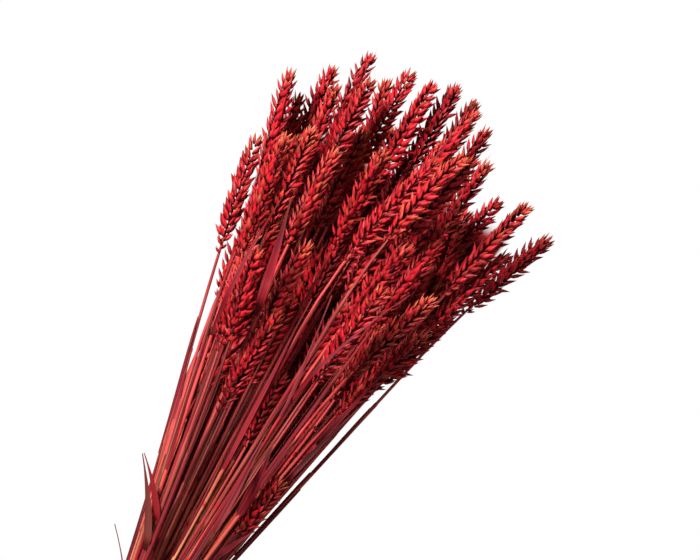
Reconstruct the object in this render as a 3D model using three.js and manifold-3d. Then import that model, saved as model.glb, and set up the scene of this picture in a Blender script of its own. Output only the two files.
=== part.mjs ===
// A bunch of dyed, dried wheat that lies on its side, with one tie round its stems.
// Millimetres. X runs along the bunch towards the ears, Z is up, and the origin is under the tie.
import * as THREE from 'three';
import { mergeVertices } from 'three/addons/utils/BufferGeometryUtils.js';
import Module from 'manifold-3d';

const wasm = await Module();
wasm.setup();

// How the bunch spreads from the tie, at x = 0
const CUT_END = -190;
const SPREAD_AHEAD = 0.0118; // growth of the bunch's width per mm towards the ears
const SPREAD_BEHIND = 0.0015; // and towards the cut ends
const LIFT_AHEAD = 0.0076; // growth of the height between levels per mm
const LIFT_BEHIND = 0.0012;
const BEND_AT_TIE = 0.35; // how gently the stems bend under the tie
const LEVEL_AT_TIE = 2.7; // height between two levels of stems at the tie
const CLEARANCE = 0.5; // least air between two stalks
const LEVEL_STEP = 0.05; // how finely a free level is looked for
const TRACK_STEP = 6; // how finely two stalks are compared along the bunch
const SLIDE_STEP = 0.3; // how finely a stalk may slide sideways at the tie
const SLIDE_STEPS = 8; // and how many such steps it may slide either way
const SLIDE_COST = 3; // levels that a stalk would rise rather than slide 1 mm

// Stems
const STEM_SIDES = 6;
const CUT_RADIUS = 1.7; // at the cut end
const STEM_RADIUS = 1.5; // at the tie
const NECK_RADIUS = 1.1; // just below the ear
const STEM_STATIONS = [CUT_END, -65, -7, 7, 60]; // a stem's rings, up to where its ear's sway starts

// Ears, each with two rows of spikelets that alternate
const EAR_RADIUS = 8.2; // from the ear's axis to the spikelets' tips
const EAR_FLATNESS = 0.84; // depth over width
const EAR_BED = 7.4; // height of the lowest ears' axis, so that they rest on their spikelets
const NECK_SWELL = 0.35; // the ear's radius at its neck over its full radius
const SWELL_RATE = 3.6; // how fast it grows to the full radius, per ear length
const TAPER_START = 0.6; // share of the ear where it starts to narrow
const TAPER = 0.55; // how much of its radius it has lost at the tip
const SPIKELETS_PER_ROW = 8;
const SPIKELET_SHARE = 0.94; // the share of the ear that spikelets cover, below its pointed tip
const NOTCH = 0.6; // radius between two spikelets over the radius at their tips
const SHOULDER = 0.93; // radius of a spikelet's outer florets over its middle one's
const TIP_LEAN = 0.9; // how far a spikelet's tip reaches towards the next one
const EAR_ROLL = 0.95; // the most that an ear's wide side turns away from level, radians
const GOLDEN_TURN = 2.39996; // spreads the ears' rolls evenly
const BED_RUN = 120; // length over which the lowest stems rise from the tie to the ears' bed
const SWAY_RUN = 1.6; // ear lengths over which an ear's sideways sway builds up

// Tie, a narrow band wound three turns and knotted on top
const TIE_TURNS = 3;
const TIE_TURN_WIDTH = 3.6;
const TIE_THICKNESS = 2.4;
const TIE_GROOVE = 0.6; // thickness in the groove between turns over the full thickness
const TIE_EDGE = 0.7; // width of a turn's rounded edge
const TIE_GAP = 0.35; // air between the band and the outermost stems
const TIE_SIDES = 8; // corners that stand for each stem's round side under the band
const TIE_HEIGHT = TIE_THICKNESS + TIE_GAP + STEM_RADIUS; // the lowest stems' axis under the tie
const KNOT_SIZE = new THREE.Vector3(6.5, 5, 3.6);

// Leaf blades
const LEAF_THICKNESS = 0.75;
const LEAF_STEPS = 7;
const LEAF_CLEARANCE = 1.3; // air between a blade and what it lies on
const LEAF_ROOT_WIDTH = 2.4;
const LEAF_TIP_WIDTH = 0.9;
const LEAF_BASE = 0.5; // width just above the root over the full width
const LEAF_WIDENING = 1.6; // how fast the blade grows to its full width, per blade length
const LEAF_TAPER = 1.4; // how late the blade narrows to its point
const LEAF_BEND = 1.5; // how late the blade drifts away from its stem
const LEAF_CATCH = 6; // a blade grows from the uppermost stem that passes this near its root

// Stalks in the order in which they are laid: where the stem passes the tie, how far the ear's tip
// reaches, how far the tip sways sideways, the ear's length, and the lowest level that it may take.
const STALKS = [
  // the lowest ears, which rest on the surface
  [20.9, 359, -5, 92, 0],
  [-20.2, 398, -11.5, 84, 0],
  [10.2, 449, -5, 84, 0],
  [14.4, 428, -8, 80, 0],
  [-12.7, 404, -6, 84, 0],
  [4.4, 439, 11, 83, 0],
  [-4.9, 456, 5, 80, 0],
  [-7.4, 443, 1, 80, 0],
  [-11.8, 386, 3, 80, 0],
  [-17.6, 316, -8, 80, 0],
  [14.9, 399, 6, 78, 0],
  [12.2, 417, -3, 78, 0],
  [0.5, 380, 0, 84, 0],
  [-16.0, 352, 0, 82, 0],
  [19.2, 322, -17, 82, 0],
  [7.2, 345, 0, 80, 0],
  [-3.6, 338, 0, 82, 0],
  [-10.7, 272, 4, 70, 0],
  [3.4, 296, 0, 74, 0],
  // the middle of the bunch
  [-17.7, 373, -9, 85, 0],
  [17.3, 410, 4, 87, 0],
  [4.9, 451, -5, 80, 0],
  [-1.3, 458, -1, 80, 0],
  [-3.2, 449, -11, 86, 0],
  [-9.6, 422, 0, 80, 0],
  [-15.9, 409, -6, 93, 0],
  [1.5, 451, -2, 90, 0],
  [-14.3, 296, -16, 88, 0],
  [-3.9, 288, -2, 78, 0],
  [2.1, 332, -1, 80, 0],
  [15.6, 345, 0, 82, 0],
  [10.5, 325, 0, 80, 0],
  [-7.6, 366, 0, 82, 0],
  [6.0, 398, 0, 84, 0],
  [-1.8, 222, 5, 64, 0],
  [-14.6, 157, -1, 56, 0],
  [15.0, 300, 2, 80, 0],
  [8.0, 424, 2, 84, 0],
  [-6.2, 392, 3, 84, 0],
  [18.0, 372, -23, 84, 0],
  [2.6, 392, 0, 86, 0],
  [-3.2, 363, 0, 82, 0],
  // the uppermost ears
  [9.4, 431, -9, 86, 4],
  [13.7, 381, -6, 84, 4],
  [9.7, 376, -7, 82, 4],
  [16.8, 368, -6, 102, 4],
  [-5.6, 418, -14, 84, 4],
  [-3.3, 415, -19, 85, 4],
  [-4.9, 343, -12, 80, 4],
  [-10.2, 357, -1, 86, 4],
  [-11.0, 320, -19, 84, 4],
  [-6.9, 309, -4, 88, 4],
  [7.4, 311, -5, 78, 4],
  [14.0, 282, 6, 74, 4],
  [12.1, 290, 7, 74, 4],
  [0.9, 404, -29, 98, 9],
  [9.8, 259, -15, 88, 4],
];

// Leaf blades, laid over the stalks: the root along and across the bunch, the blade's length and
// width, and how far its tip drifts away from its stem.
const LEAVES = [
  [245, 37, 84, 9, 12],
  [218, 57, 109, 4.5, -14],
  [135, 8, 140, 4.5, 4],
  [115, -27, 60, 10, 11],
  [63, 27, 60, 8, 26],
  [84, 30, 40, 8, 25],
  [205, -14, 106, 3.6, -23],
  [150, -44, 74, 5, -6],
  [186, -50, 70, 4.5, -4],
  [96, -8, 76, 6, 6],
  [190, -9, 94, 3, 19],
  [20, 20, 50, 2.6, 27],
  [86, -26, 28, 6, -8],
];

const CRIMSON = new THREE.MeshStandardMaterial({ color: 0x9e1f28, roughness: 0.75, metalness: 0 });
const RAFFIA = new THREE.MeshStandardMaterial({ color: 0xb98f5a, roughness: 0.85, metalness: 0 });

// Triangles between neighbouring rings of points. One column may be split along its other diagonal.
function bandFaces(ringCount, columns, closed, crossedColumn) {
  const faces = [];
  const bands = closed ? ringCount : ringCount - 1;
  for (let ring = 0; ring < bands; ring += 1) {
    const nextRing = (ring + 1) % ringCount;
    for (let column = 0; column < columns; column += 1) {
      const nextColumn = (column + 1) % columns;
      const a = ring * columns + column;
      const b = ring * columns + nextColumn;
      const c = nextRing * columns + nextColumn;
      const d = nextRing * columns + column;
      if (column === crossedColumn) faces.push(a, b, d, b, c, d);
      else faces.push(a, b, c, a, c, d);
    }
  }
  return faces;
}

// A closed body stretched over rings of points, with a fan of triangles to a point at each end
function skin(rings, start, end, crossedColumn = -1) {
  const columns = rings[0].length;
  const faces = bandFaces(rings.length, columns, false, crossedColumn);
  const points = rings.flat();
  const first = points.push(start) - 1;
  const last = points.push(end) - 1;
  const lastRing = (rings.length - 1) * columns;
  for (let column = 0; column < columns; column += 1) {
    const next = (column + 1) % columns;
    faces.push(first, next, column);
    faces.push(last, lastRing + column, lastRing + next);
  }
  return geometryOf(points, faces);
}

function geometryOf(points, faces) {
  const geometry = new THREE.BufferGeometry();
  geometry.setFromPoints(points);
  geometry.setIndex(faces);
  return geometry;
}

function solidOf(geometry) {
  const vertProperties = new Float32Array(geometry.attributes.position.array);
  const triVerts = new Uint32Array(geometry.index.array);
  return new wasm.Manifold(new wasm.Mesh({ numProp: 3, vertProperties, triVerts }));
}

function geometryOfSolid(solid) {
  const mesh = solid.getMesh();
  const geometry = new THREE.BufferGeometry();
  geometry.setAttribute('position', new THREE.BufferAttribute(new Float32Array(mesh.vertProperties), 3));
  geometry.setIndex(new THREE.BufferAttribute(new Uint32Array(mesh.triVerts), 1));
  return geometry;
}

// Growth from the tie outwards: 1 at the tie, then straight lines that bend gently into each other
function growth(x, ahead, behind) {
  const slope = (ahead - behind) / 2;
  const opening = (ahead + behind) / 2;
  return 1 + slope * x + Math.hypot(opening * x, BEND_AT_TIE) - BEND_AT_TIE;
}

class Stalk {
  constructor([across, reach, sway, ear], index) {
    Object.assign(this, { across, reach, sway, ear, level: 0 });
    this.neck = reach - ear;
    this.swayStart = reach - SWAY_RUN * ear;
    this.roll = EAR_ROLL * Math.sin(index * GOLDEN_TURN);
  }

  side(x) {
    const swayed = Math.max(0, (x - this.swayStart) / (this.reach - this.swayStart));
    return this.across * growth(x, SPREAD_AHEAD, SPREAD_BEHIND) + this.sway * swayed * swayed;
  }

  height(x, level = this.level) {
    const bed = TIE_HEIGHT + (EAR_BED - TIE_HEIGHT) * THREE.MathUtils.smoothstep(x, 0, BED_RUN);
    return bed + level * LEVEL_AT_TIE * growth(x, LIFT_AHEAD, LIFT_BEHIND);
  }

  at(x) {
    return new THREE.Vector3(x, this.side(x), this.height(x));
  }

  // The ear swells quickly above the neck and narrows towards its tip
  swell(share) {
    const narrowing = Math.max(0, (share - TAPER_START) / (1 - TAPER_START));
    return Math.min(1, NECK_SWELL + SWELL_RATE * share) * (1 - TAPER * narrowing * narrowing);
  }

  stemRadius(x) {
    if (x < 0) return THREE.MathUtils.mapLinear(x, CUT_END, 0, CUT_RADIUS, STEM_RADIUS);
    return THREE.MathUtils.mapLinear(x, 0, this.neck, STEM_RADIUS, NECK_RADIUS);
  }

  radius(x) {
    if (x < this.neck) return this.stemRadius(x);
    return EAR_RADIUS * this.swell((x - this.neck) / this.ear);
  }

  ring(x, sides, reachOf) {
    const along = this.at(x + 1).sub(this.at(x - 1)).normalize();
    const across = new THREE.Vector3(0, 0, 1).cross(along).normalize();
    const up = along.clone().cross(across);
    return Array.from({ length: sides }, (_, column) => {
      const angle = (column / sides) * 2 * Math.PI;
      const { radius, flatness, lean } = reachOf(column, angle);
      const wide = Math.cos(angle) * radius;
      const deep = Math.sin(angle) * radius * flatness;
      const point = this.at(x).addScaledVector(along, lean);
      point.addScaledVector(across, wide * Math.cos(this.roll) - deep * Math.sin(this.roll));
      point.addScaledVector(up, wide * Math.sin(this.roll) + deep * Math.cos(this.roll));
      point.z = Math.max(point.z, 0);
      return point;
    });
  }

  stemRing(x) {
    return this.ring(x, STEM_SIDES, () => ({ radius: this.stemRadius(x), flatness: 1, lean: 0 }));
  }

  // Each ring crosses the tips of one row's spikelet and the notch between two of the other row's
  earRing(number, rings) {
    const share = ((number + 0.5) / rings) * SPIKELET_SHARE;
    const swell = EAR_RADIUS * this.swell(share);
    const step = (this.ear * SPIKELET_SHARE) / rings;
    return this.ring(this.neck + share * this.ear, STEM_SIDES, (column, angle) => {
      const nearRow = Math.cos(angle) > 0;
      const isTip = nearRow === (number % 2 === 0);
      const isMiddle = column % (STEM_SIDES / 2) === 0;
      const tipRadius = swell * (isMiddle ? 1 : SHOULDER);
      const radius = isTip ? tipRadius : swell * NOTCH;
      return { radius, flatness: EAR_FLATNESS, lean: isTip ? TIP_LEAN * step : 0 };
    });
  }

  geometry() {
    const rings = [...STEM_STATIONS, this.swayStart, this.neck].map((x) => this.stemRing(x));
    const earRings = 2 * SPIKELETS_PER_ROW;
    for (let number = 0; number < earRings; number += 1) rings.push(this.earRing(number, earRings));
    return skin(rings, this.at(CUT_END), this.at(this.reach));
  }

  // The stalk's place and thickness at even steps along the bunch
  track() {
    const stations = Array.from({ length: Math.ceil((this.reach - CUT_END) / TRACK_STEP) }, (_, number) => {
      return CUT_END + number * TRACK_STEP;
    });
    return stations.map((x) => ({
      side: this.side(x),
      radius: this.radius(x),
      height: this.height(x),
      lift: this.height(x, this.level + 1) - this.height(x),
    }));
  }
}

// Each stalk is laid on the lowest level, from its own least level up, where it clears all before it.
// It may slide a little sideways into a hollow.
const stalks = [];
const tracks = [];
function clears(track, level, other) {
  const shared = Math.min(track.length, other.length);
  for (let number = 0; number < shared; number += 1) {
    const here = track[number];
    const there = other[number];
    const room = here.radius + there.radius + CLEARANCE;
    const sideways = here.side - there.side;
    const upwards = here.height + level * here.lift - there.height;
    if (sideways * sideways + upwards * upwards < room * room) return false;
  }
  return true;
}
function lay(stalk, leastLevel) {
  const { across } = stalk;
  const places = Array.from({ length: 2 * SLIDE_STEPS + 1 }, (_, number) => {
    const slide = (number - SLIDE_STEPS) * SLIDE_STEP;
    stalk.across = across + slide;
    const track = stalk.track();
    let level = leastLevel;
    while (!tracks.every((other) => clears(track, level, other))) level += LEVEL_STEP;
    return { across: stalk.across, level, cost: level + Math.abs(slide) * SLIDE_COST };
  });
  const best = places.reduce((kept, place) => (place.cost < kept.cost ? place : kept));
  stalk.across = best.across;
  stalk.level = best.level;
  stalks.push(stalk);
  tracks.push(stalk.track());
}
STALKS.forEach((entry, index) => lay(new Stalk(entry, index), entry.at(-1)));

// The top of the pile of stalks under a strip of the given half width
function pileTop(x, y, half) {
  const tops = stalks
    .filter((stalk) => x <= stalk.reach && Math.abs(y - stalk.side(x)) < half + stalk.radius(x))
    .map((stalk) => stalk.height(x) + stalk.radius(x));
  return Math.max(0, ...tops);
}

// A strap-like blade that leaves its stem, lies along the pile and ends in a point
function leafGeometry(stem, [rootX, , length, width, drift]) {
  const step = length / LEAF_STEPS;
  const middles = [stem.at(rootX)];
  const halves = [LEAF_ROOT_WIDTH / 2];
  for (let number = 1; number <= LEAF_STEPS; number += 1) {
    const share = number / LEAF_STEPS;
    const x = rootX + share * length;
    const y = stem.side(x) + drift * share ** LEAF_BEND;
    const widening = Math.min(1, LEAF_BASE + LEAF_WIDENING * share);
    const half = Math.max(LEAF_TIP_WIDTH, width * widening * (1 - share ** LEAF_TAPER)) / 2;
    const tops = [-0.5, 0, 0.5].map((offset) => pileTop(x + offset * step, y, half));
    middles.push(new THREE.Vector3(x, y, Math.max(stem.height(x), ...tops) + LEAF_CLEARANCE));
    halves.push(half);
  }
  // a stiff blade spans the hollows between the stalks under it
  for (let pass = 0; pass < LEAF_STEPS; pass += 1) {
    for (let number = 1; number < LEAF_STEPS; number += 1) {
      const span = (middles[number - 1].z + middles[number + 1].z) / 2;
      middles[number].z = Math.max(middles[number].z, span);
    }
  }
  const corners = [[1, -1], [1, 1], [-1, 1], [-1, -1]];
  const rings = middles.map((middle, number) => corners.map(([sideways, upwards]) => {
    const y = middle.y + sideways * halves[number];
    const z = middle.z + (upwards * LEAF_THICKNESS) / 2;
    return new THREE.Vector3(middle.x, y, z);
  }));
  const underside = corners.length - 1;
  return skin(rings, middles[0], middles[LEAF_STEPS], underside);
}

// Each blade is fused to the uppermost stem that passes its root
const blades = new Map();
for (const leaf of LEAVES) {
  const [rootX, rootY] = leaf;
  const passing = stalks.filter((stalk) => {
    return rootX < stalk.neck && Math.abs(stalk.side(rootX) - rootY) < LEAF_CATCH;
  });
  const stem = passing.reduce((upper, stalk) => (stalk.height(rootX) > upper.height(rootX) ? stalk : upper));
  const blade = solidOf(leafGeometry(stem, leaf));
  blades.set(stem, blades.has(stem) ? blades.get(stem).add(blade) : blade);
}

// The convex outline of points in a plane, anticlockwise
function outlineOf(points) {
  const turn = (a, b, c) => (b.x - a.x) * (c.y - a.y) - (b.y - a.y) * (c.x - a.x);
  const chain = (sorted) => {
    const kept = [];
    for (const point of sorted) {
      while (kept.length > 1 && turn(kept.at(-2), kept.at(-1), point) <= 0) kept.pop();
      kept.push(point);
    }
    return kept.slice(0, -1);
  };
  const sorted = points.toSorted((a, b) => a.x - b.x || a.y - b.y);
  return [...chain(sorted), ...chain(sorted.toReversed())];
}

// The band follows the outermost stems all round, a little clear of them
function tieSolid() {
  const width = TIE_TURNS * TIE_TURN_WIDTH;
  const around = [];
  for (const stalk of stalks) {
    for (const x of [-width / 2, 0, width / 2]) {
      const reach = (stalk.stemRadius(x) + TIE_GAP) / Math.cos(Math.PI / TIE_SIDES);
      for (let number = 0; number < TIE_SIDES; number += 1) {
        const angle = ((number + 0.5) / TIE_SIDES) * 2 * Math.PI;
        const y = stalk.side(x) + reach * Math.cos(angle);
        const z = Math.max(stalk.height(x) + reach * Math.sin(angle), TIE_THICKNESS);
        around.push(new THREE.Vector2(y, z));
      }
    }
  }
  const inner = outlineOf(around);
  const profile = [[-width / 2, 0], [width / 2, 0], [width / 2, TIE_GROOVE * TIE_THICKNESS]];
  for (let number = TIE_TURNS - 1; number >= 0; number -= 1) {
    const left = number * TIE_TURN_WIDTH - width / 2;
    profile.push([left + TIE_TURN_WIDTH - TIE_EDGE, TIE_THICKNESS]);
    profile.push([left + TIE_EDGE, TIE_THICKNESS]);
    profile.push([left, TIE_GROOVE * TIE_THICKNESS]);
  }
  const rings = inner.map((corner, number) => {
    const before = inner.at(number - 1);
    const after = inner[(number + 1) % inner.length];
    const edgeIn = corner.clone().sub(before).normalize();
    const edgeOut = after.clone().sub(corner).normalize();
    const outward = new THREE.Vector2(edgeIn.y + edgeOut.y, -edgeIn.x - edgeOut.x);
    outward.multiplyScalar(1 / (1 + edgeIn.dot(edgeOut)));
    return profile.map(([x, out]) => {
      return new THREE.Vector3(x, corner.x + out * outward.x, corner.y + out * outward.y);
    });
  });
  const band = geometryOf(rings.flat(), bandFaces(rings.length, profile.length, true, -1));
  const ball = new THREE.SphereGeometry(1, 10, 7);
  ball.deleteAttribute('normal');
  ball.deleteAttribute('uv');
  const knot = mergeVertices(ball);
  const highest = inner.reduce((upper, point) => (point.y > upper.y ? point : upper));
  knot.scale(KNOT_SIZE.x, KNOT_SIZE.y, KNOT_SIZE.z);
  knot.translate(0, highest.x, highest.y + TIE_THICKNESS + KNOT_SIZE.z / 2);
  return solidOf(band).add(solidOf(knot));
}

const bunch = new THREE.Group();
stalks.forEach((stalk, index) => {
  const body = solidOf(stalk.geometry());
  const whole = blades.has(stalk) ? body.add(blades.get(stalk)) : body;
  const mesh = new THREE.Mesh(geometryOfSolid(whole), CRIMSON);
  mesh.name = `stalk_${String(index + 1).padStart(2, '0')}`;
  bunch.add(mesh);
});
const tie = new THREE.Mesh(geometryOfSolid(tieSolid()), RAFFIA);
tie.name = 'tie';
bunch.add(tie);

export default bunch;
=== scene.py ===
import math

import bpy
import numpy as np
from mathutils.geometry import convex_hull_2d
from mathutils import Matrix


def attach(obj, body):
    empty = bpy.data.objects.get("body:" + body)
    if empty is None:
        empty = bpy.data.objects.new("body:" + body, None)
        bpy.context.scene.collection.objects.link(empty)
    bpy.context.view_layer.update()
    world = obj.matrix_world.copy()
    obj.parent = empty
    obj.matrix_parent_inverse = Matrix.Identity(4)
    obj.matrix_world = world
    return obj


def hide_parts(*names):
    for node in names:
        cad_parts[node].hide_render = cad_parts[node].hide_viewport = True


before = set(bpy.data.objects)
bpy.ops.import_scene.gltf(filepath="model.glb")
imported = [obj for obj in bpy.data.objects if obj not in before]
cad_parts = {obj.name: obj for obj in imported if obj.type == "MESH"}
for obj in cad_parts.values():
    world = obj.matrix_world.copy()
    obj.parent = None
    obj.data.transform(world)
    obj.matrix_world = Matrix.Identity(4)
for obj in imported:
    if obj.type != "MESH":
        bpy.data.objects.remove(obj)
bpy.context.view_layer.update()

# The view
# The bunch lies on a white table and is seen from straight above, turned so that its ears
# point up and to the right and its tied stems leave the frame at the bottom left.
VIEW_CENTRE = (0.2994, -0.0099)
VIEW_TURN = math.radians(-60.5)
VIEW_DISTANCE = 4.0
VIEW_WIDTH = 0.49
SENSOR_WIDTH = 36
PILE_MIDDLE = 0.05
bpy.ops.object.camera_add(
    location=(*VIEW_CENTRE, PILE_MIDDLE + VIEW_DISTANCE), rotation=(0, 0, VIEW_TURN)
)
camera = bpy.context.object
camera.data.sensor_width = SENSOR_WIDTH
camera.data.lens = SENSOR_WIDTH * VIEW_DISTANCE / VIEW_WIDTH
bpy.context.scene.camera = camera
bpy.context.scene.view_settings.view_transform = "Standard"

# How the stalks lie
# Each stalk is a dried wheat straw that spreads from the tie, curves a little at its neck and rests
# on the ones under it. Its line is worked out in millimetres, ending at the tip of its node.
MM = 0.001
CUT_END = -190
TIE_HEIGHT = 4.25
EAR_BED = 7.4
BED_RUN = 120
LEVEL_AT_TIE = 2.7
SPREAD = (0.0118, 0.0015)
LIFT = (0.0076, 0.0012)
BEND_AT_TIE = 0.35
SWAY_RUN = 1.6
EAR_ROLL = 0.95
GOLDEN_TURN = 2.39996
CUT_RADIUS = 1.7
STEM_RADIUS = 1.5
NECK_RADIUS = 1.1
EAR_RADIUS = 8.2
# an ear's girth: its share at the foot, how fast it fills out, where it narrows and what its tip loses
EAR_FOOT_GIRTH = 0.35
EAR_FILLING = 3.6
EAR_NARROWS = 0.6
EAR_TIP_LOSS = 0.55
# how far each ear reaches from the tie, how far it sways sideways, and its length
STALKS = [
    (359, -5, 92), (398, -11.5, 84), (449, -5, 84), (428, -8, 80), (404, -6, 84), (439, 11, 83),
    (456, 5, 80), (443, 1, 80), (386, 3, 80), (316, -8, 80), (399, 6, 78), (417, -3, 78), (380, 0, 84),
    (352, 0, 82), (322, -17, 82), (345, 0, 80), (338, 0, 82), (272, 4, 70), (296, 0, 74), (373, -9, 85),
    (410, 4, 87), (451, -5, 80), (458, -1, 80), (449, -11, 86), (422, 0, 80), (409, -6, 93),
    (451, -2, 90), (296, -16, 88), (288, -2, 78), (332, -1, 80), (345, 0, 82), (325, 0, 80),
    (366, 0, 82), (398, 0, 84), (222, 5, 64), (157, -1, 56), (300, 2, 80), (424, 2, 84), (392, 3, 84),
    (372, -23, 84), (392, 0, 86), (363, 0, 82), (431, -9, 86), (381, -6, 84), (376, -7, 82),
    (368, -6, 102), (418, -14, 84), (415, -19, 85), (343, -12, 80), (357, -1, 86), (320, -19, 84),
    (309, -4, 88), (311, -5, 78), (282, 6, 74), (290, 7, 74), (404, -29, 98), (259, -15, 88),
]


def growth(x, ahead, behind):
    """How many times wider or higher than at the tie the bunch is at x."""
    bend = np.hypot((ahead + behind) / 2 * x, BEND_AT_TIE) - BEND_AT_TIE
    return 1 + (ahead - behind) / 2 * x + bend


def eased(x, start, end):
    share = np.clip((x - start) / (end - start), 0, 1)
    return share * share * (3 - 2 * share)


def unit(vectors):
    return vectors / np.linalg.norm(vectors, axis=-1, keepdims=True)


def node_points(name):
    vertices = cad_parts[name].data.vertices
    points = np.empty(len(vertices) * 3)
    vertices.foreach_get("co", points)
    return points.reshape(-1, 3) / MM


class Stalk:
    def __init__(self, index, reach, sway, ear):
        self.name = f"stalk_{index + 1:02d}"
        self.reach = reach
        self.sway = sway
        self.ear = ear
        self.neck = reach - ear
        self.sway_start = reach - SWAY_RUN * ear
        self.roll = EAR_ROLL * math.sin(index * GOLDEN_TURN)

    def end_at(self, tip):
        self.across = (tip[1] - self.sway) / growth(self.reach, *SPREAD)
        self.level = (tip[2] - EAR_BED) / (LEVEL_AT_TIE * growth(self.reach, *LIFT))

    def side(self, x):
        swayed = np.maximum(0, (x - self.sway_start) / (self.reach - self.sway_start))
        return self.across * growth(x, *SPREAD) + self.sway * swayed**2

    def height(self, x):
        bed = TIE_HEIGHT + (EAR_BED - TIE_HEIGHT) * eased(x, 0, BED_RUN)
        return bed + self.level * LEVEL_AT_TIE * growth(x, *LIFT)

    def at(self, x):
        return np.stack([x, self.side(x), self.height(x)], -1)

    def stem_radius(self, x):
        return np.interp(x, [CUT_END, 0, self.neck], [CUT_RADIUS, STEM_RADIUS, NECK_RADIUS])

    def radius(self, x):
        share = (x - self.neck) / self.ear
        narrowing = np.maximum(0, (share - EAR_NARROWS) / (1 - EAR_NARROWS))
        swell = np.minimum(1, EAR_FOOT_GIRTH + EAR_FILLING * share) * (1 - EAR_TIP_LOSS * narrowing**2)
        return np.where(x < self.neck, self.stem_radius(x), EAR_RADIUS * swell)

    def place(self, x, wide, deep, turn=0.0):
        """Points beside the stalk's line: x along the bunch, wide and deep across it, turned about it."""
        along = unit(self.at(x + 1) - self.at(x - 1))
        across = unit(np.cross([0, 0, 1], along))
        up = np.cross(along, across)
        sideways = (wide * np.cos(turn) - deep * np.sin(turn))[..., None]
        upwards = (wide * np.sin(turn) + deep * np.cos(turn))[..., None]
        points = self.at(x) + across * sideways + up * upwards
        points[..., 2] = np.maximum(points[..., 2], 0)
        return points


stalks = [Stalk(index, *entry) for index, entry in enumerate(STALKS)]
for stalk in stalks:
    corners = node_points(stalk.name)
    stalk.end_at(corners[np.argmin(np.abs(corners[:, 0] - stalk.reach))])

# Stalks in the gaps
# More straws of the same kind fill the bunch between and under those that show, so that no light comes
# through it. Each lies where it presses least on the ones already there.
FILLERS = 44
# places across the tie: the ends of an even row, and two more where one side would be thin
FILLER_EDGES = (-18.6, 20.4)
FILLER_EXTRA = (-14.7, -14.4)
FILLER_EAR = (66, 82)
FILLER_SWAY = 4
# beyond this place a filler leans back to the middle, by so much for each step farther out
FILLER_LEANS_FROM = 11.5
FILLER_LEAN = 5.0
FILLER_SHORTER = (28, 190)
# where the tips of the bunch end: places across the tie, and how far the ears reach there
FAN_EDGE = (
    [-20.2, -15.9, -9.6, -4.9, -1.3, 4.9, 10.2, 14.4, 17.3, 20.9],
    [398, 405, 422, 456, 458, 451, 449, 428, 405, 359],
)
FILLER_LEVELS = np.arange(0, 7, 0.5)
FILLER_SLIDES = (-0.9, -0.45, 0, 0.45, 0.9)
FILLER_SQUEEZE = 0.8
LEVEL_WEIGHT = 6
PAST_TIP = -20
draw = np.random.default_rng(7)
stations = np.arange(60, 440, 8.0)


def track(stalk):
    radius = np.where(stations < stalk.reach, stalk.radius(stations), PAST_TIP)
    return np.stack([stalk.side(stations), stalk.height(stations), radius])


def press(stalk, tracks):
    """How hard a stalk would press into those already laid."""
    side, height, radius = track(stalk)
    apart = np.hypot(tracks[:, 0] - side, tracks[:, 1] - height)
    return np.sum(np.maximum(0, FILLER_SQUEEZE * (tracks[:, 2] + radius) - apart) ** 2)


def sheltered(across, level):
    """Whether a stalk of the part lies farther out under the tie and no lower."""
    return any(stalk.across * across > across**2 and stalk.level >= level for stalk in stalks)


fillers = []
tracks = [track(stalk) for stalk in stalks]
for number, place in enumerate([*np.linspace(*FILLER_EDGES, FILLERS), *FILLER_EXTRA]):
    reach = np.interp(place, *FAN_EDGE) - draw.uniform(*FILLER_SHORTER)
    lean = FILLER_LEAN * max(0, abs(place) - FILLER_LEANS_FROM)
    sway = draw.normal(0, FILLER_SWAY) - math.copysign(lean, place)
    filler = Stalk(number, reach, sway, draw.uniform(*FILLER_EAR))
    filler.name = f"filler_{number + 1:02d}"
    costs = {}
    for level in FILLER_LEVELS:
        for slide in FILLER_SLIDES:
            filler.across, filler.level = place + slide, level
            if sheltered(filler.across, level):
                costs[filler.across, level] = press(filler, np.array(tracks)) + LEVEL_WEIGHT * level
    filler.across, filler.level = min(costs, key=costs.get)
    fillers.append(filler)
    tracks.append(track(filler))


# Dyed husk, straw and leaf
# The bunch was dipped in a crimson dye, which husks take up deeply, stems less, and dry leaf blades as
# a dusty mauve. Fine fibres run along every part, so their patterns follow the fibre attribute.
# Husks also carry painted shade at their roots and a painted highlight on their paler rims.
BUMP_DEPTH = 0.0004
STREAK_ROUGHNESS = 0.25


def linear(red, green, blue):
    """A colour as seen on a screen, in the linear values that the renderer works with."""
    def channel(value):
        share = value / 255
        return share / 12.92 if share <= 0.04045 else ((share + 0.055) / 1.055) ** 2.4

    return (channel(red), channel(green), channel(blue), 1)


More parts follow.
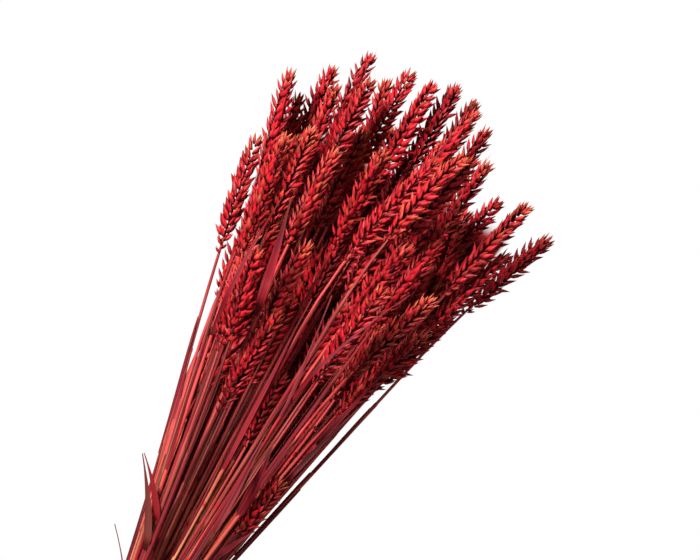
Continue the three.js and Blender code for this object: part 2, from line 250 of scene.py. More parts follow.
class Wire:
    """A node's output, which Python arithmetic and the methods here carry on into new nodes."""

    def __init__(self, tree, socket=None):
        self.tree = tree
        self.socket = socket

    def node(self, kind, settings=None, sockets=None, output=0):
        made = self.tree.nodes.new(kind)
        for name, value in (settings or {}).items():
            setattr(made, name, value)
        for name, value in (sockets or {}).items():
            if isinstance(value, Wire):
                self.tree.links.new(value.socket, made.inputs[name])
            else:
                made.inputs[name].default_value = value
        return Wire(self.tree, made.outputs[output] if len(made.outputs) else None)

    def math(self, operation, first, second):
        return self.node("ShaderNodeMath", {"operation": operation}, {0: first, 1: second})

    def __add__(self, other):
        return self.math("ADD", self, other)

    def __sub__(self, other):
        return self.math("SUBTRACT", self, other)

    def __rsub__(self, other):
        return self.math("SUBTRACT", other, self)

    def __mul__(self, other):
        return self.math("MULTIPLY", self, other)

    __radd__ = __add__
    __rmul__ = __mul__

    def __pow__(self, other):
        return self.math("POWER", self, other)

    def step(self, start, end):
        settings = {"interpolation_type": "SMOOTHSTEP"}
        return self.node("ShaderNodeMapRange", settings, {"Value": self, "From Min": start, "From Max": end})

    def blend(self, first, second):
        return self.node("ShaderNodeMix", {"data_type": "RGBA"}, {0: self, 6: first, 7: second}, 2)

    def scaled(self, *sizes):
        return self.node("ShaderNodeVectorMath", {"operation": "MULTIPLY"}, {0: self, 1: sizes})

    def noise(self, detail=2.0):
        return self.node("ShaderNodeTexNoise", None, {"Vector": self, "Scale": 1.0, "Detail": detail})


def dyed(name, colour_of, streak_scale, bump, roughness, gloss):
    """A dry plant surface, whose colour_of turns the wires of its tones and fibres into a colour."""
    material = bpy.data.materials.new(name)
    material.use_nodes = True
    tree = material.node_tree
    tree.nodes.clear()
    start = Wire(tree)
    tone = start.node("ShaderNodeAttribute", {"attribute_name": "tone"})
    along, chance, edge = (tone.node("ShaderNodeSeparateColor", None, {0: tone}, part) for part in range(3))
    dry = start.node("ShaderNodeAttribute", {"attribute_name": "tone"}, None, "Alpha")
    fibre = start.node("ShaderNodeAttribute", {"attribute_name": "fibre"}, None, "Vector")
    streak = fibre.scaled(*streak_scale).noise()
    colour = colour_of(along, chance, edge, dry, fibre, streak)
    relief = {"Strength": bump, "Distance": BUMP_DEPTH, "Height": streak}
    normal = streak.node("ShaderNodeBump", None, relief)
    shader = start.node("ShaderNodeBsdfPrincipled", None, {
        "Base Color": colour,
        "Roughness": roughness + STREAK_ROUGHNESS * streak,
        "Normal": normal,
        "Specular IOR Level": gloss,
    })
    start.node("ShaderNodeOutputMaterial", None, {"Surface": shader})
    return material


HUSK_SHADES = linear(106, 2, 12), linear(192, 12, 32)
HUSK_VEIN = linear(222, 42, 54)
# partly the husks' paler edges, partly a painted highlight along them
HUSK_RIM_AND_HIGHLIGHT = linear(236, 112, 98)
# painted shade for the husks' roots, where they crowd together
HUSK_ROOT_SHADE = linear(46, 0, 4)
HUSK_BEAK = linear(128, 34, 24)
HUSK_BARE = linear(236, 150, 92)


def husk_colour(along, chance, edge, dry, fibre, streak):
    body = chance.blend(*HUSK_SHADES)
    veined = (streak.step(0.46, 0.7) * 0.6).blend(body, HUSK_VEIN)
    # paler rims on the husks' sides, which also serve as a painted highlight
    rim_and_highlight = (edge**3 * 0.5).blend(veined, HUSK_RIM_AND_HIGHLIGHT)
    # painted shade: each husk darkens towards its root, where the husks crowd
    root_shaded = ((1 - along.step(0.08, 0.5)) * 0.85).blend(rim_and_highlight, HUSK_ROOT_SHADE)
    tipped = (along.step(0.8, 1.0) * 0.6).blend(root_shaded, HUSK_BEAK)
    return (dry * along.step(0.3, 0.85)).blend(tipped, HUSK_BARE)


STEM_SHADES = linear(84, 9, 12), linear(184, 50, 52)
STEM_RIB = linear(224, 116, 104)
STEM_STAIN = linear(140, 8, 26)
STEM_BARE = linear(234, 164, 110)
STEM_JOINT = linear(176, 14, 28)


def stem_colour(along, chance, edge, dry, fibre, streak):
    shade = chance.step(0.1, 0.9).blend(*STEM_SHADES)
    ribbed = (streak.step(0.4, 0.7) * 0.45).blend(shade, STEM_RIB)
    stained = fibre.scaled(90, 90, 14).noise().step(0.5, 0.66)
    blotched = (stained * 0.7).blend(ribbed, STEM_STAIN)
    cut = (1 - along.step(0.42, 0.82)) * (dry**2 * 0.7 + streak.step(0.4, 0.75) * 0.3)
    faded = cut.blend(blotched, STEM_BARE)
    return edge.blend(faded, STEM_JOINT)


LEAF_SHADES = linear(50, 5, 11), linear(116, 18, 32)
LEAF_VEIN = linear(166, 60, 66)
LEAF_STAIN = linear(140, 6, 22)
LEAF_END = linear(120, 52, 34)
LEAF_BROWN = linear(92, 34, 24)
LEAF_RED = linear(122, 10, 20)


def leaf_colour(along, chance, edge, dry, fibre, streak):
    blade = chance.blend(*LEAF_SHADES)
    veined = (streak.step(0.42, 0.62) * 0.5).blend(blade, LEAF_VEIN)
    stained = fibre.scaled(60, 60, 18).noise().step(0.46, 0.66)
    blotched = (stained * 0.6).blend(veined, LEAF_STAIN)
    tipped = (along.step(0.7, 1.0) * 0.5).blend(blotched, LEAF_END)
    browned = dry.step(0.0, 1.0).blend(tipped, LEAF_BROWN)
    return (0 - dry).step(0.0, 1.0).blend(browned, LEAF_RED)


HUSK, STEM, LEAF = range(3)
finishes = [
    dyed("dyed_husk_with_painted_shade", husk_colour, (1000, 1000, 80), 0.7, 0.36, 0.22),
    dyed("dyed_stem", stem_colour, (1500, 1500, 16), 0.6, 0.45, 0.2),
    dyed("dyed_leaf", leaf_colour, (1200, 1200, 10), 0.9, 0.5, 0.18),
]


# One husk, one straw and one blade
# Every husk is a boat-shaped dry scale with a bulging back and a pointed beak, every straw a hollow
# reed with two swollen joints and a leaf sheath, every blade a thin strap. Each is modelled once.
class Pattern:
    """A modelled mesh's points and faces, kept for copying, with the modelled object removed."""

    def __init__(self, shape):
        mesh = shape.data
        points = np.empty(len(mesh.vertices) * 3)
        mesh.vertices.foreach_get("co", points)
        self.points = points.reshape(-1, 3)
        self.corners = np.empty(len(mesh.loops), int)
        mesh.loops.foreach_get("vertex_index", self.corners)
        self.sizes = np.empty(len(mesh.polygons), int)
        mesh.polygons.foreach_get("loop_total", self.sizes)
        bpy.data.objects.remove(shape)
        bpy.data.meshes.remove(mesh)


def pick(shape, chosen):
    """Selects in edit mode the vertices of shape whose place chosen accepts."""
    bpy.ops.object.mode_set(mode="EDIT")
    bpy.ops.mesh.select_mode(type="VERT")
    bpy.ops.mesh.select_all(action="DESELECT")
    bpy.ops.object.mode_set(mode="OBJECT")
    for vertex in shape.data.vertices:
        vertex.select = bool(chosen(vertex.co))
    bpy.ops.object.mode_set(mode="EDIT")


HUSK_SEGMENTS = 6
HUSK_RINGS = 6
HUSK_BELLY = 0.35
RING_MARGIN = 0.01
# share of the full width at each ring from the root to the beak
HUSK_OUTLINE = [0.62, 1.0, 0.88, 0.46, 0.12]
bpy.ops.mesh.primitive_uv_sphere_add(segments=HUSK_SEGMENTS, ring_count=HUSK_RINGS, radius=0.5)
husk_shape = bpy.context.object
for ring, share in enumerate(HUSK_OUTLINE, 1):
    turn = math.pi * ring / HUSK_RINGS
    ring_height = -math.cos(turn) / 2
    pick(husk_shape, lambda place: abs(place.z - ring_height) < RING_MARGIN)
    factor = share / math.sin(turn)
    bpy.ops.transform.resize(value=(factor, factor, 1), center_override=(0, 0, 0))
pick(husk_shape, lambda place: place.y < -RING_MARGIN)
bpy.ops.transform.resize(value=(1, HUSK_BELLY, 1), center_override=(0, 0, 0))
pick(husk_shape, lambda place: True)
bpy.ops.transform.translate(value=(0, 0, 0.5))
bpy.ops.object.mode_set(mode="OBJECT")
husk = Pattern(husk_shape)

STRAW_SIDES = 8
CUT_MARGIN = 0.001
# rings along the straw, from the cut end to the neck, and how swollen each is
STRAW_RINGS = [
    (0.0, 1.0), (0.05, 1.0), (0.1, 1.0), (0.14, 1.02), (0.152, 1.1), (0.157, 1.26), (0.162, 1.1),
    (0.17, 1.12), (0.21, 1.14), (0.26, 1.12), (0.31, 1.1), (0.36, 1.06), (0.4, 1.02), (0.44, 1.0),
    (0.48, 1.0), (0.51, 1.0), (0.516, 1.12), (0.521, 1.3), (0.526, 1.12), (0.535, 1.14), (0.57, 1.18),
    (0.61, 1.2), (0.65, 1.2), (0.69, 1.18), (0.715, 1.22), (0.719, 0.98), (0.76, 0.98), (0.81, 0.98),
    (0.86, 1.0), (0.91, 1.0), (0.96, 1.0), (1.0, 0.9),
]
bpy.ops.mesh.primitive_cylinder_add(vertices=STRAW_SIDES, radius=1, depth=1, location=(0, 0, 0))
straw_shape = bpy.context.object
pick(straw_shape, lambda place: True)
bpy.ops.transform.translate(value=(0, 0, 0.5))
for share, _ in STRAW_RINGS[1:-1]:
    bpy.ops.mesh.select_all(action="SELECT")
    bpy.ops.mesh.bisect(plane_co=(0, 0, share), plane_no=(0, 0, 1))
for share, swollen in STRAW_RINGS:
    pick(straw_shape, lambda place: abs(place.z - share) < CUT_MARGIN)
    bpy.ops.transform.resize(value=(swollen, swollen, 1), center_override=(0, 0, share))
bpy.ops.object.mode_set(mode="OBJECT")
straw = Pattern(straw_shape)

BLADE_THICKNESS = 0.5


def strip(columns, steps):
    """A flat strip one long, one wide and one thick, to be bent to a blade or a sheath."""
    bpy.ops.mesh.primitive_grid_add(x_subdivisions=columns, y_subdivisions=steps, size=1)
    shape = bpy.context.object
    pick(shape, lambda place: True)
    bpy.ops.transform.translate(value=(0, 0.5, 0))
    bpy.ops.object.mode_set(mode="OBJECT")
    thicken = shape.modifiers.new("thickness", "SOLIDIFY")
    thicken.thickness = 1
    thicken.offset = 0
    bpy.ops.object.modifier_apply(modifier="thickness")
    return Pattern(shape)


blade = strip(columns=4, steps=22)
sheath = strip(columns=2, steps=12)


# Ears, straws and leaves
# An ear carries two rows of spikelets on its thin stalk, each a fan of two glumes and three lemmas, and
# one more at its tip. Straw, ear and any leaf are one grown piece, so they are one mesh for each stalk.
SMOOTH_ANGLE = math.radians(60)


class Growth:
    """The parts of one stalk, gathered and then made into one mesh in metres."""

    def __init__(self):
        self.points = []
        self.corners = []
        self.sizes = []
        self.finish = []
        self.fibre = []
        self.tone = []
        self.count = 0

    def add(self, pattern, points, finish, fibre, along, chance, edge=0.0, dry=0.0):
        """Adds copies of a pattern: points, fibre and tones hold one row of the pattern's points a copy."""
        copies = points.reshape(-1, len(pattern.points), 3)
        for number in range(len(copies)):
            self.corners.append(pattern.corners + self.count + number * len(pattern.points))
        self.sizes.append(np.tile(pattern.sizes, len(copies)))
        self.finish.append(np.full(len(copies) * len(pattern.sizes), finish))
        self.points.append(copies.reshape(-1, 3))
        self.fibre.append(np.broadcast_to(fibre, copies.shape).reshape(-1, 3))
        shape = copies.shape[:2]
        tones = [np.broadcast_to(tone, shape).ravel() for tone in (along, chance, edge, dry)]
        self.tone.append(np.stack(tones, -1))
        self.count += shape[0] * shape[1]

    def piece(self, name, coats):
        mesh = bpy.data.meshes.new(name)
        points = np.concatenate(self.points) * MM
        corners = np.concatenate(self.corners)
        sizes = np.concatenate(self.sizes)
        mesh.vertices.add(len(points))
        mesh.vertices.foreach_set("co", points.ravel())
        mesh.loops.add(len(corners))
        mesh.loops.foreach_set("vertex_index", corners)
        mesh.polygons.add(len(sizes))
        mesh.polygons.foreach_set("loop_start", np.cumsum(sizes) - sizes)
        mesh.polygons.foreach_set("material_index", np.concatenate(self.finish))
        mesh.update(calc_edges=True)
        fibre = mesh.attributes.new("fibre", "FLOAT_VECTOR", "POINT")
        fibre.data.foreach_set("vector", (np.concatenate(self.fibre) * MM).ravel())
        tone = mesh.attributes.new("tone", "FLOAT_COLOR", "POINT")
        tone.data.foreach_set("color", np.concatenate(self.tone).ravel())
        for coat in coats:
            mesh.materials.append(coat)
        made = bpy.data.objects.new(name, mesh)
        bpy.context.collection.objects.link(made)
        bpy.ops.object.select_all(action="DESELECT")
        made.select_set(True)
        bpy.context.view_layer.objects.active = made
        bpy.ops.object.shade_smooth_by_angle(angle=SMOOTH_ANGLE)
        return made


SPIKELET_PITCH = 6.8
EAR_FOOT = 2.0
EAR_HEAD = 9.5
# one spikelet's husks: offset along the ear, outwards and to the face; leans outwards and to the face
# in degrees; length, width and depth
SPIKELET = [
    (0.0, 0.9, 2.0, 22, 24, 8.8, 4.0, 3.2),
    (0.0, 0.9, -2.0, 22, -24, 8.8, 4.0, 3.2),
    (1.1, 1.7, 1.5, 40, 18, 10.8, 4.2, 3.8),
    (1.1, 1.7, -1.5, 40, -18, 10.8, 4.2, 3.8),
    (2.6, 1.5, 0.0, 32, 0, 11.0, 4.0, 3.8),
]
# a spikelet's size: its share at the ear's foot, how fast it grows, where it falls and what the tip loses
FOOT_SIZE = 0.34
FOOT_GROWTH = 3.0
SIZE_FALLS = 0.55
TIP_LOSS = 0.28
FLORET_SIZES = (0.86, 1.12)
FLORET_WANDER = 8
EAR_OPENNESS = (0.85, 1.15)
LEAN_AT_TIP = 0.7
# how far the backs of a spikelet's middle and side husks turn outwards, and the side ones to the face
MIDDLE_OUT = 1.2
SIDE_OUT = 0.8
SIDE_FACE = 0.75
# how bare of dye an ear is, how much its husks differ in that, and what is added towards its tip
EAR_DRYNESS = (-0.07, 0.08)
HUSK_DRYNESS = 0.13
DRY_TOP = 0.3
DRY_FROM = 0.75
HUSK_SHADE = (0.5, 0.22)
EAR_SHADE = (0, 0.1)
HUSK_SHIFT = 400
HUSK_BACK = -0.02
HEAD_HUSKS = 4
HEAD_LEAN = (11, 19)
HEAD_LENGTH = (0.85, 1.0)
HEAD_WIDTH = 2.8
HEAD_DEPTH = 2.3
MOST_BRISTLES = 6
BRISTLE_ROOT = 3
BRISTLE_LEAN = (5, 24)
BRISTLE_PLACE = (0.1, 0.9)
BRISTLE_LENGTH = (9, 22)
BRISTLE_WIDTH = 0.35
BRISTLE_DRYNESS = (0.2, 0.7)


def outwards(turn):
    return np.array([0, math.cos(turn), math.sin(turn)])


def leaning(degrees, sideways):
    lean = math.radians(degrees)
    return np.array([math.cos(lean), 0, 0]) + sideways * math.sin(lean)


def row_husks(stalk, florets, openness, dryness):
    """The husks of an ear's two rows: the root, lean, facing, size and dryness of each."""
    husks = []
    spikelets = 2 * round(stalk.ear / SPIKELET_PITCH)
    for number in range(spikelets):
        share = (number + 0.5) / spikelets
        falling = max(0, (share - SIZE_FALLS) / (1 - SIZE_FALLS))
        size = min(1, FOOT_SIZE + FOOT_GROWTH * share) * (1 - TIP_LOSS * falling**2)
        row = 1 if number % 2 == 0 else -1
        foot = EAR_FOOT + share * (stalk.ear - EAR_FOOT - EAR_HEAD)
        closing = openness * (1 - (1 - LEAN_AT_TIP) * share)
        for ahead, out, face, lean_out, lean_face, *measures in florets:
            wander = np.radians(draw.normal(0, FLORET_WANDER, 2))
            lean_u = math.radians(lean_out) * closing + wander[0]
            lean_w = math.radians(lean_face) * closing + wander[1]
            root = (foot + ahead * size, row * out * size, face * size)
            lean = (
                math.cos(lean_u) * math.cos(lean_w),
                row * math.sin(lean_u) * math.cos(lean_w),
                math.sin(lean_w),
            )
            facing = (0, row * (MIDDLE_OUT if face == 0 else SIDE_OUT), SIDE_FACE * np.sign(face))
            measure = size * draw.uniform(*FLORET_SIZES) * np.array(measures)
            bare = draw.normal(dryness, HUSK_DRYNESS) + DRY_TOP * eased(share, DRY_FROM, 1)
            husks.append((root, lean, facing, measure, bare))
    return husks


def head_husks(stalk, dryness):
    """The husks of the single spikelet at an ear's tip."""
    husks = []
    for number in range(HEAD_HUSKS):
        facing = outwards(2 * math.pi * (number + 0.5) / HEAD_HUSKS)
        lean = leaning(draw.uniform(*HEAD_LEAN), facing)
        root = np.array([stalk.ear - EAR_HEAD, 0, 0]) + facing
        measure = np.array([EAR_HEAD * draw.uniform(*HEAD_LENGTH), HEAD_WIDTH, HEAD_DEPTH])
        husks.append((root, lean, facing, measure, dryness + DRY_TOP))
    return husks


def bristles(stalk):
    """A few thin stray bristles, which are husks drawn out long."""
    husks = []
    for _ in range(draw.integers(0, MOST_BRISTLES)):
        facing = outwards(draw.uniform(0, 2 * math.pi))
        lean = leaning(draw.uniform(*BRISTLE_LEAN), facing)
        root = np.array([stalk.ear * draw.uniform(*BRISTLE_PLACE), 0, 0]) + BRISTLE_ROOT * facing
        measure = np.array([draw.uniform(*BRISTLE_LENGTH), BRISTLE_WIDTH, BRISTLE_WIDTH])
        husks.append((root, lean, facing, measure, draw.uniform(*BRISTLE_DRYNESS)))
    return husks


def add_ear(growth_of, stalk, florets):
    openness = draw.uniform(*EAR_OPENNESS)
    dryness = draw.normal(*EAR_DRYNESS)
    husks = row_husks(stalk, florets, openness, dryness)
    husks += head_husks(stalk, dryness)
    husks += bristles(stalk)
    roots, leans, outs, sizes, dry = (np.array(values) for values in zip(*husks))
    dry = np.clip(dry, 0, 1)
    leans = unit(leans)
    outs = unit(outs - leans * np.sum(outs * leans, -1, keepdims=True))
    wides = np.cross(outs, leans)
    wide, deep, long = (husk.points * sizes[:, None, [1, 2, 0]]).transpose(2, 0, 1)
    local = roots[:, None] + leans[:, None] * long[..., None]
    local = local + wides[:, None] * wide[..., None] + outs[:, None] * deep[..., None]
    points = stalk.place(stalk.neck + local[..., 0], local[..., 1], local[..., 2], stalk.roll)
    chance = np.clip(draw.normal(*HUSK_SHADE, len(roots)) + draw.normal(*EAR_SHADE), 0, 1)
    shift = draw.uniform(0, HUSK_SHIFT, (len(roots), 1, 3))
    fibre = np.stack([wide, deep, long], -1) + shift
    along = husk.points[:, 2]
    edge = np.clip(np.abs(husk.points[:, 0]) * 2, 0, 1) * (husk.points[:, 1] > HUSK_BACK)
    growth_of.add(husk, points, HUSK, fibre, along[None], chance[:, None], edge[None], dry[:, None])


RACHIS_SHARE = 0.8
RACHIS_RADIUS = 0.7
NECK_FADE = 8
JOINT_WANDER = 0.14
JOINT_SWELL = (1.23, 1.27)
FIBRE_SHIFT = 900


def add_straw(growth_of, stalk):
    warp = draw.uniform(-JOINT_WANDER, JOINT_WANDER)
    share = straw.points[:, 2]
    moved = share + warp * 4 * share**2 * (1 - share) ** 2
    x = CUT_END + (stalk.neck + RACHIS_SHARE * stalk.ear - CUT_END) * moved
    inside = eased(x, stalk.neck, stalk.neck + NECK_FADE)
    girth = stalk.stem_radius(x) * (1 - inside) + RACHIS_RADIUS * inside
    wide, deep = straw.points[:, 0] * girth, straw.points[:, 1] * girth
    points = stalk.place(x, wide, deep, draw.uniform(0, math.pi))
    chance = draw.random()
    fibre = np.stack([wide, deep, x], -1) + draw.uniform(0, FIBRE_SHIFT, 3)
    swollen = np.hypot(straw.points[:, 0], straw.points[:, 1])
    joint = np.interp(swollen, JOINT_SWELL, (0, 1))
    along = (x - CUT_END) / (stalk.neck - CUT_END)
    growth_of.add(straw, points, STEM, fibre, along, chance, joint, draw.random())


# root along the bunch, root across it, length, width and sideways drift of each strap leaf, and how
# brown it is where the dye has not taken, or below zero how red where it lies thick
LEAVES = [
    (245, 37, 84, 9, 12), (218, 57, 109, 4.5, -14), (135, 8, 140, 4.5, 4), (115, -27, 60, 10, 11),
    (63, 27, 60, 8, 26, 0.8), (84, 30, 40, 8, 25, -0.8), (205, -14, 106, 3.6, -23), (150, -44, 74, 5, -6),
    (186, -50, 70, 4.5, -4), (96, -8, 76, 6, 6), (190, -9, 94, 3, 19), (20, 20, 50, 2.6, 27, 0.6),
    (86, -26, 28, 6, -8),
]
LEAF_STEPS = 7
LEAF_CLEARANCE = 1.3
LEAF_CATCH = 6
LEAF_ROOT_WIDTH = 2.4
LEAF_TIP_WIDTH = 0.9
LEAF_CURVE = 1.5
LEAF_FOOT = 0.5
LEAF_FILLING = 1.6
LEAF_TAPER = 1.4
LEAF_KEEL = 0.12


def pile_top(x, y, half):
    """The height of the stalks under a leaf of this half width."""
    tops = [0.0]
    for stalk in stalks:
        if x <= stalk.reach and abs(y - stalk.side(x)) < half + stalk.radius(x):
            tops.append(stalk.height(x) + stalk.radius(x))
    return max(tops)


def bearer(root_x, root_y):
    """The topmost stalk that passes a leaf's root."""
    straws = [stalk for stalk in stalks if root_x < stalk.neck]
    passing = [stalk for stalk in straws if abs(stalk.side(root_x) - root_y) < LEAF_CATCH]
    return max(passing, key=lambda stalk: stalk.height(root_x))


def add_leaf(growth_of, stalk, root_x, length, width, drift, dryness=0.0):
    shares = np.linspace(0, 1, LEAF_STEPS + 1)
    x = root_x + shares * length
    y = stalk.side(x) + drift * shares**LEAF_CURVE
    swell = np.minimum(1, LEAF_FOOT + LEAF_FILLING * shares) * (1 - shares**LEAF_TAPER)
    half = np.maximum(LEAF_TIP_WIDTH, width * swell) / 2
    half[0] = LEAF_ROOT_WIDTH / 2
    step = length / LEAF_STEPS
    z = stalk.height(x)
    for number in range(1, LEAF_STEPS + 1):
        nearby = x[number] + step * np.array([-0.5, 0, 0.5])
        tops = [pile_top(place, y[number], half[number]) for place in nearby]
        z[number] = max(z[number], *tops) + LEAF_CLEARANCE
    for _ in range(LEAF_STEPS):
        for number in range(1, LEAF_STEPS):
            z[number] = max(z[number], (z[number - 1] + z[number + 1]) / 2)
    wide, share, deep = blade.points[:, 0], blade.points[:, 1], blade.points[:, 2]
    breadth = np.interp(share, shares, half * 2)
    keel = (0.5 - np.abs(wide)) * LEAF_KEEL * breadth
    points = np.stack([
        np.interp(share, shares, x),
        np.interp(share, shares, y) - wide * breadth,
        np.interp(share, shares, z) + deep * BLADE_THICKNESS - keel,
    ], -1)
    fibre = np.stack([wide * breadth, deep, share * length], -1) + draw.uniform(0, FIBRE_SHIFT, 3)
    growth_of.add(blade, points, LEAF, fibre, share, draw.random(), 0, dryness)


SHEATH_REACH = (45, 130)
SHEATH_WIDTH = (1.6, 3.6)
SHEATH_ZONES = [(-60, 60), (40, 150), (110, 240)]
SHEATH_FACING = (math.pi / 2, 0.7)
SHEATH_TWIST = (0, 0.8)
SHEATH_LOOSE = (0.2, 3.0)
SHEATH_PEEL = 2.5
SHEATH_BELOW_NECK = 12
SHEATH_FOOT = 0.75
SHEATH_TAPER = 4
SHEATH_TIP = 0.3
SHEATH_FIT = 1.22
SHEATH_GAP = 0.15
SHEATH_FLATTER = 0.8


def add_sheath(growth_of, stalk, zone):
    """A dry leaf that wraps its straw and comes loose towards its pointed end."""
    length = draw.uniform(*SHEATH_REACH)
    start = draw.uniform(*zone)
    width = draw.uniform(*SHEATH_WIDTH)
    facing = draw.normal(*SHEATH_FACING)
    twist = draw.normal(*SHEATH_TWIST)
    loose = draw.uniform(*SHEATH_LOOSE)
    if start + length > stalk.neck - SHEATH_BELOW_NECK:
        return
    wide, share, deep = sheath.points[:, 0], sheath.points[:, 1], sheath.points[:, 2]
    x = start + share * length
    breadth = width * np.minimum(1, SHEATH_FOOT + share) * (1 - share**SHEATH_TAPER) + SHEATH_TIP
    stand_off = stalk.stem_radius(x) * SHEATH_FIT + SHEATH_GAP + loose * share**SHEATH_PEEL
    around = facing + twist * share + wide * breadth / (stand_off + SHEATH_FLATTER)
    reach = stand_off + deep * BLADE_THICKNESS
    points = stalk.place(x, reach * np.cos(around), reach * np.sin(around))
    fibre = np.stack([wide * breadth, deep, share * length], -1) + draw.uniform(0, FIBRE_SHIFT, 3)
    growth_of.add(sheath, points, LEAF, fibre, share, draw.random())


leaves = {}
for root_x, root_y, *leaf in LEAVES:
    leaves.setdefault(bearer(root_x, root_y).name, []).append((root_x, *leaf))
for stalk in stalks + fillers:
    grown = Growth()
    add_straw(grown, stalk)
    add_ear(grown, stalk, SPIKELET if stalk in stalks else SPIKELET[2:])
    for zone in SHEATH_ZONES:
        add_sheath(grown, stalk, zone)
    for leaf in leaves.get(stalk.name, []):
        add_leaf(grown, stalk, *leaf)
    wheat = grown.piece(f"wheat_{stalk.name}", finishes)
    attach(wheat, "root")
    if stalk in stalks:
        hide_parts(stalk.name)

# The tie
# A strip of undyed raffia, wound three times round the stems and knotted on top, holds the bunch. Each
# turn is a few dry, split fibres lying side by side, and the knot's three short ends stick out.
TIE_TURNS = 3
TIE_TURN_WIDTH = 3.6
TIE_THICKNESS = 2.4
TIE_GAP = 0.35
FIBRES_PER_TURN = 4
FIBRE_STEPS = 180
FIBRE_SIDES = 6
FIBRE_WAVE = 0.25
SWAY_WAVES = (2, 6)
RISE_WAVES = (3, 9)
FIBRE_THICKNESS = (0.62, 0.8)
FIBRE_LIFT = 0.3
FIBRE_OVERLAP = 1.5
STEM_SIDES = 12
bpy.ops.mesh.primitive_torus_add(
    major_segments=FIBRE_STEPS, minor_segments=FIBRE_SIDES, major_radius=1, minor_radius=0.5
)
loop = Pattern(bpy.context.object)
loop_share = np.mod(np.arctan2(loop.points[:, 1], loop.points[:, 0]) / (2 * math.pi), 1)
loop_out = np.hypot(loop.points[:, 0], loop.points[:, 1]) - 1
loop_wide = loop.points[:, 2]
stem_places = []
reach = STEM_RADIUS + TIE_GAP
for stalk in stalks:
    for turn in np.linspace(0, 2 * math.pi, STEM_SIDES, endpoint=False):
        side = float(stalk.side(0.0) + reach * math.cos(turn))
        height = float(stalk.height(0.0) + reach * math.sin(turn))
        stem_places.append((side, max(height, TIE_THICKNESS)))
hull = np.array([stem_places[number] for number in convex_hull_2d(stem_places)])
clockwise = np.sum(np.cross(hull, np.roll(hull, -1, 0))) < 0
hull = hull[::-1] if clockwise else hull
hull = np.vstack([hull, hull[:1]])
lengths = np.append(0, np.cumsum(np.linalg.norm(np.diff(hull, axis=0), axis=1)))
# shares of the way round over which the tie's direction is averaged, so that it rounds the corners
CORNER_ROUNDING = (0.004, 0.01, 0.02)


def round_stems(share):
    """Points on the stems' outline, at a share of the way round, and the direction out of it there."""
    def at(where):
        run = np.mod(where, 1) * lengths[-1]
        return np.stack([np.interp(run, lengths, hull[:, column]) for column in range(2)], -1)

    ahead = sum(at(share + step) - at(share - step) for step in CORNER_ROUNDING)
    return at(share), unit(np.stack([ahead[:, 1], -ahead[:, 0]], -1))


RAFFIA_SHADES = linear(150, 104, 58), linear(214, 176, 118)
RAFFIA_FIBRE = linear(232, 204, 152)


def raffia_colour(along, chance, edge, dry, fibre, streak):
    body = chance.blend(*RAFFIA_SHADES)
    return (streak.step(0.35, 0.7) * 0.6).blend(body, RAFFIA_FIBRE)


raffia = dyed("raffia", raffia_colour, (1600, 1600, 30), 0.8, 0.55, 0.3)
bound = Growth()
middles, outward = round_stems(loop_share)
fibres = TIE_TURNS * FIBRES_PER_TURN
pitch = TIE_TURN_WIDTH / FIBRES_PER_TURN
for number in range(fibres):
    centre = (number - (fibres - 1) / 2) * pitch
    sway = FIBRE_WAVE * np.sin(2 * math.pi * (loop_share * draw.integers(*SWAY_WAVES) + draw.random()))
    rise = FIBRE_WAVE * np.sin(2 * math.pi * (loop_share * draw.integers(*RISE_WAVES) + draw.random()))
    thick = TIE_THICKNESS * draw.uniform(*FIBRE_THICKNESS)
    out = thick * (0.5 + loop_out) + FIBRE_LIFT + rise
    x = centre + sway + loop_wide * pitch * FIBRE_OVERLAP
    flat = middles + outward * out[:, None]
    points = np.stack([x, flat[:, 0], np.maximum(flat[:, 1], 0)], -1)
    fibre = np.stack([loop_wide * pitch, loop_out * thick, loop_share * lengths[-1]], -1)
    bound.add(loop, points, 0, fibre + draw.uniform(0, FIBRE_SHIFT, 3), loop_share, draw.random())
KNOT_SIZE = np.array([6.5, 5.0, 3.6])
KNOT_STRANDS = 7
KNOT_TILT = 0.1
STRAND_GIRTH = 1.25
STRAND_WIDTH = 3.4
STRAND_GRAIN = np.array([2, 2, 30])
top = hull[np.argmax(hull[:, 1])]
knot_middle = np.array([0, top[0], top[1] + TIE_THICKNESS + KNOT_SIZE[2] / 2])
wrap = 2 * math.pi * loop_share
strand = 1 + loop_out[:, None] * 2 * STRAND_GIRTH / KNOT_SIZE
for number in range(KNOT_STRANDS):
    tilt = math.pi * number / KNOT_STRANDS + draw.normal(0, KNOT_TILT)
    ring = np.stack([np.cos(wrap) * math.cos(tilt), np.cos(wrap) * math.sin(tilt), np.sin(wrap)], -1)
    across = np.array([math.sin(tilt), -math.cos(tilt), 0])
    points = knot_middle + ring * (KNOT_SIZE - STRAND_GIRTH) * strand
    points = points + across * (loop_wide * STRAND_WIDTH)[:, None]
    fibre = np.stack([loop_wide, loop_out, loop_share], -1) * STRAND_GRAIN
    bound.add(loop, points, 0, fibre + draw.uniform(0, FIBRE_SHIFT, 3), loop_share, draw.random())
# the heading of each end from the line of the stems, in radians, and its length
KNOT_ENDS = [(0.5, 46), (2.2, 38), (0.1, 30)]
END_START = 3
END_WIDTH = 3.2
END_TAPER = 0.55
END_THICKNESS = 0.6
END_ARCH = 2.5
END_DROOP = 5.5
END_FOLD = 1.2
wide, share, deep = blade.points.T
lift = END_ARCH * np.sin(share * math.pi) - END_DROOP * share**2
breadth = END_WIDTH * (1 - END_TAPER * share**3)
for heading, length in KNOT_ENDS:
    run = np.array([math.cos(heading), math.sin(heading), 0])
    across = np.array([run[1], -run[0], 0])
    points = knot_middle + run * (END_START + share * length)[:, None] + across * (wide * breadth)[:, None]
    points[:, 2] += lift + deep * END_THICKNESS - np.abs(wide) * END_FOLD
    fibre = np.stack([wide * breadth, deep, share * length], -1)
    bound.add(blade, points, 0, fibre + draw.uniform(0, FIBRE_SHIFT, 3), share, draw.random())
tie = bound.piece("raffia_tie", [raffia])
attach(tie, "root")
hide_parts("tie")
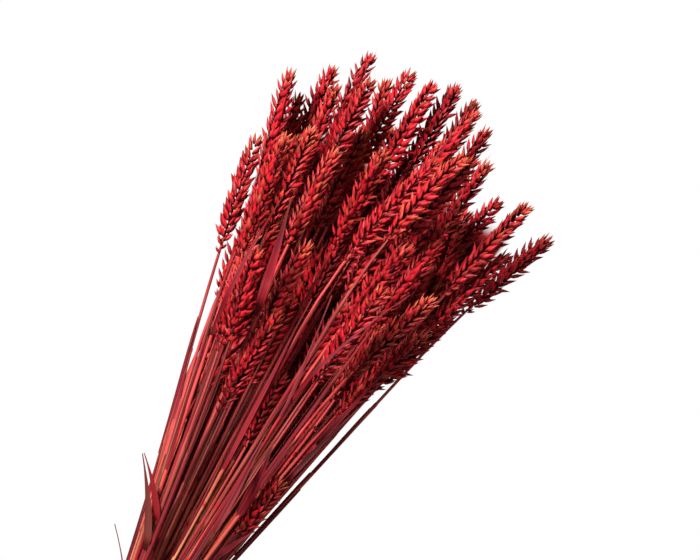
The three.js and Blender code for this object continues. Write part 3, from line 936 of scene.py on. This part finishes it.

# The table
# A wide white table that glows evenly all round the bunch, with a painted shadow under the middle of the
# pile:
# near black where the stalks lie close together and reddish where it fades out. Its glow does not light the
# stalks.
TABLE_SIZE = 60
TABLE_DROP = 0.0005
WHITE = (1, 1, 1, 1)
BLACK = (0, 0, 0, 1)
# painted shadow colours: reddish where it fades out, near black under the middle of the pile
SHADOW_RIM_RED = linear(150, 36, 38)
SHADED = linear(22, 2, 5)
# where the painted shadow under the pile fades out: places across the tie, and metres along the bunch at
# either end
SHADOW_SIDES = (17.6, 18.9)
SHADOW_TIPS = (0.355, 0.39)
SHADOW_CUTS = (-0.17, -0.13)
bpy.ops.mesh.primitive_plane_add(size=TABLE_SIZE, location=(0, 0, -TABLE_DROP))
table = bpy.context.object
table.name = "table"
table.visible_diffuse = False
table.visible_glossy = False
sheet = bpy.data.materials.new("white_sheet_painted_shadow")
sheet.use_nodes = True
sheet.node_tree.nodes.clear()
sheet_wire = Wire(sheet.node_tree)
place = sheet_wire.node("ShaderNodeTexCoord", None, None, "Object")
ahead, aside = (place.node("ShaderNodeSeparateXYZ", None, {0: place}, part) for part in range(2))
fan = sheet_wire.math("MAXIMUM", ahead * (SPREAD[0] / MM) + (1 - BEND_AT_TIE), 1)
across = sheet_wire.math("DIVIDE", sheet_wire.math("ABSOLUTE", aside, 0) * (1 / MM), fan)
# painted shadow under the pile, standing in for the shade that the stalks cast on the table
painted_shadow_mask = (1 - across.step(*SHADOW_SIDES)) * (1 - ahead.step(*SHADOW_TIPS)) * ahead.step(*SHADOW_CUTS)
shadow_rim_tinted = painted_shadow_mask.step(0.0, 0.5).blend(WHITE, SHADOW_RIM_RED)
glow_and_painted_shadow = painted_shadow_mask.step(0.3, 0.9).blend(shadow_rim_tinted, SHADED)
sheet_shader = sheet_wire.node("ShaderNodeBsdfPrincipled", None, {
    "Base Color": BLACK,
    "Roughness": 1.0,
    "Specular IOR Level": 0.0,
    "Emission Color": glow_and_painted_shadow,
    "Emission Strength": 1.0,
})
sheet_wire.node("ShaderNodeOutputMaterial", None, {"Surface": sheet_shader})
table.data.materials.append(sheet)


# The light
# A broad lamp stands beyond the upper left of the picture, so the ears' left sides shine and deep
# shadows fall between them to the right. A weak lamp across from it and a pale surround soften those.
LAMP_TARGET = np.array([0.25, 0, 0.05])
SURROUND_STRENGTH = 0.08


def lamp(name, place, size, power):
    bpy.ops.object.light_add(type="AREA", location=place)
    made = bpy.context.object
    made.name = name
    made.data.size = size
    made.data.energy = power
    made.visible_camera = False
    back = np.array(place) - LAMP_TARGET
    level = math.hypot(back[0], back[1])
    made.rotation_euler = (math.atan2(level, back[2]), 0, math.atan2(back[0], -back[1]))


lamp("key_lamp", place=(0.5, 0.98, 1.5), size=0.5, power=68)
lamp("fill_lamp", place=(-0.6, -0.9, 1.8), size=1.6, power=10)
world = bpy.data.worlds.new("surround")
world.use_nodes = True
surround = world.node_tree.nodes["Background"]
surround.inputs["Color"].default_value = WHITE
surround.inputs["Strength"].default_value = SURROUND_STRENGTH
bpy.context.scene.world = world
